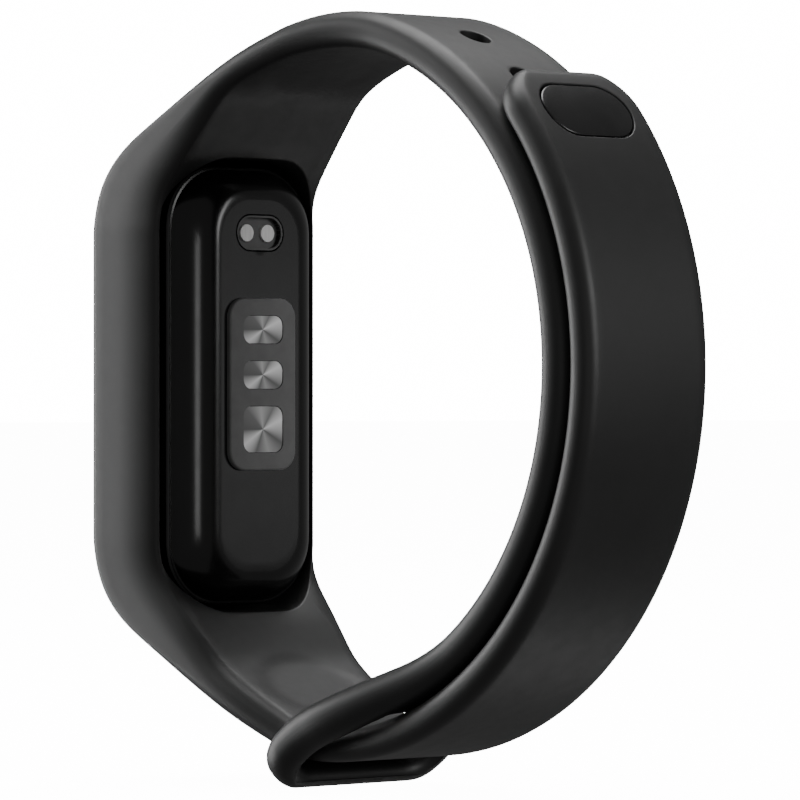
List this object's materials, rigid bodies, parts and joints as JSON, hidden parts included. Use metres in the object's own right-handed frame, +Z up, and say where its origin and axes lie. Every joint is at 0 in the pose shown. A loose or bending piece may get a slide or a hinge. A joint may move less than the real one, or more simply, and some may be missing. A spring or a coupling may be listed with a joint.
{
  "type": "fitness tracker band",
  "caption": "Wristband with a cradle, a strap that passes through a loop and a stud closure, holding a tracker capsule with an optical sensor back.",
  "frame": {"origin": "centre of the wrist opening, level with the middle of the capsule, which sits on the -X side", "axes": "+X from the display towards the closure side, +Y along the wrist, +Z up along the display"},
  "size_m": [0.0625, 0.0204, 0.0681],
  "materials": {
    "strap_silicone": "matte moulded elastomer",
    "stud_gloss": "glossy dark cap",
    "stud_metal": "turned pin",
    "capsule_gloss": "glossy black shell",
    "glass": "tinted cover glass",
    "island_matte": "flat dark grey plate",
    "window_foil": "radially brushed windows under clear resin",
    "contact_metal": "satin charging contacts",
    "port_plastic": "black insulator",
    "seal_rubber": "soft seal",
    "adhesive": "adhesive film",
    "display_black": "display laminate",
    "frame_plastic": "moulded frame",
    "battery_foil": "pouch foil",
    "board_green": "circuit board",
    "flex_amber": "polyimide flex",
    "chip_black": "chip package",
    "can_metal": "drawn can",
    "shaft_steel": "ground shaft",
    "weight_metal": "sintered weight",
    "led_white": "diode package"
  },
  "bodies": {
    "band": {"cradle": "strap_silicone", "strap_hole_side": "strap_silicone", "strap_stud_side": "strap_silicone"},
    "tail": {"strap_tail": "strap_silicone", "stud_cap": "stud_gloss", "stud_post": "stud_metal"},
    "capsule": {"antenna": "flex_amber", "battery": "battery_foil", "battery_board": "board_green", "battery_foam": "seal_rubber", "board_connector": "chip_black", "capsule_housing": "capsule_gloss", "charge_insert": "port_plastic", "clock_crystal": "can_metal", "contact_left": "contact_metal", "contact_right": "contact_metal", "cover_glass": "glass", "display_flex": "flex_amber", "display_panel": "display_black", "glass_adhesive": "adhesive", "green_led_middle": "led_white", "green_led_upper": "led_white", "light_barrier": "port_plastic", "main_board": "board_green", "memory_chip": "chip_black", "mid_frame": "frame_plastic", "motion_sensor": "chip_black", "motor_can": "can_metal", "motor_pad": "seal_rubber", "photodiode": "chip_black", "port_seal": "seal_rubber", "power_chip": "chip_black", "radio_chip": "chip_black", "sensor_board": "board_green", "sensor_flex": "flex_amber", "sensor_island": "island_matte", "touch_film": "display_black", "window_lower": "window_foil", "window_middle": "window_foil", "window_upper": "window_foil"},
    "motor_rotor": {"motor_shaft": "shaft_steel", "motor_weight": "weight_metal"}
  },
  "joints": [
    {"name": "tail_peel", "type": "hinge", "parent": "band", "child": "tail", "pos_m": [0.0308, 0, 0.00743], "axis": [0, 1, 0], "range_deg": [0, 32], "stiffness_Nm_per_rad": 0.05},
    {"name": "capsule_release", "type": "slide", "parent": "band", "child": "capsule", "axis": [1, 0, 0], "range_m": [0, 0.016]},
    {"name": "motor_spin", "type": "hinge", "parent": "capsule", "child": "motor_rotor", "pos_m": [-0.027, 0.0025, -0.0096], "axis": [0, 1, 0], "continuous": true}
  ]
}
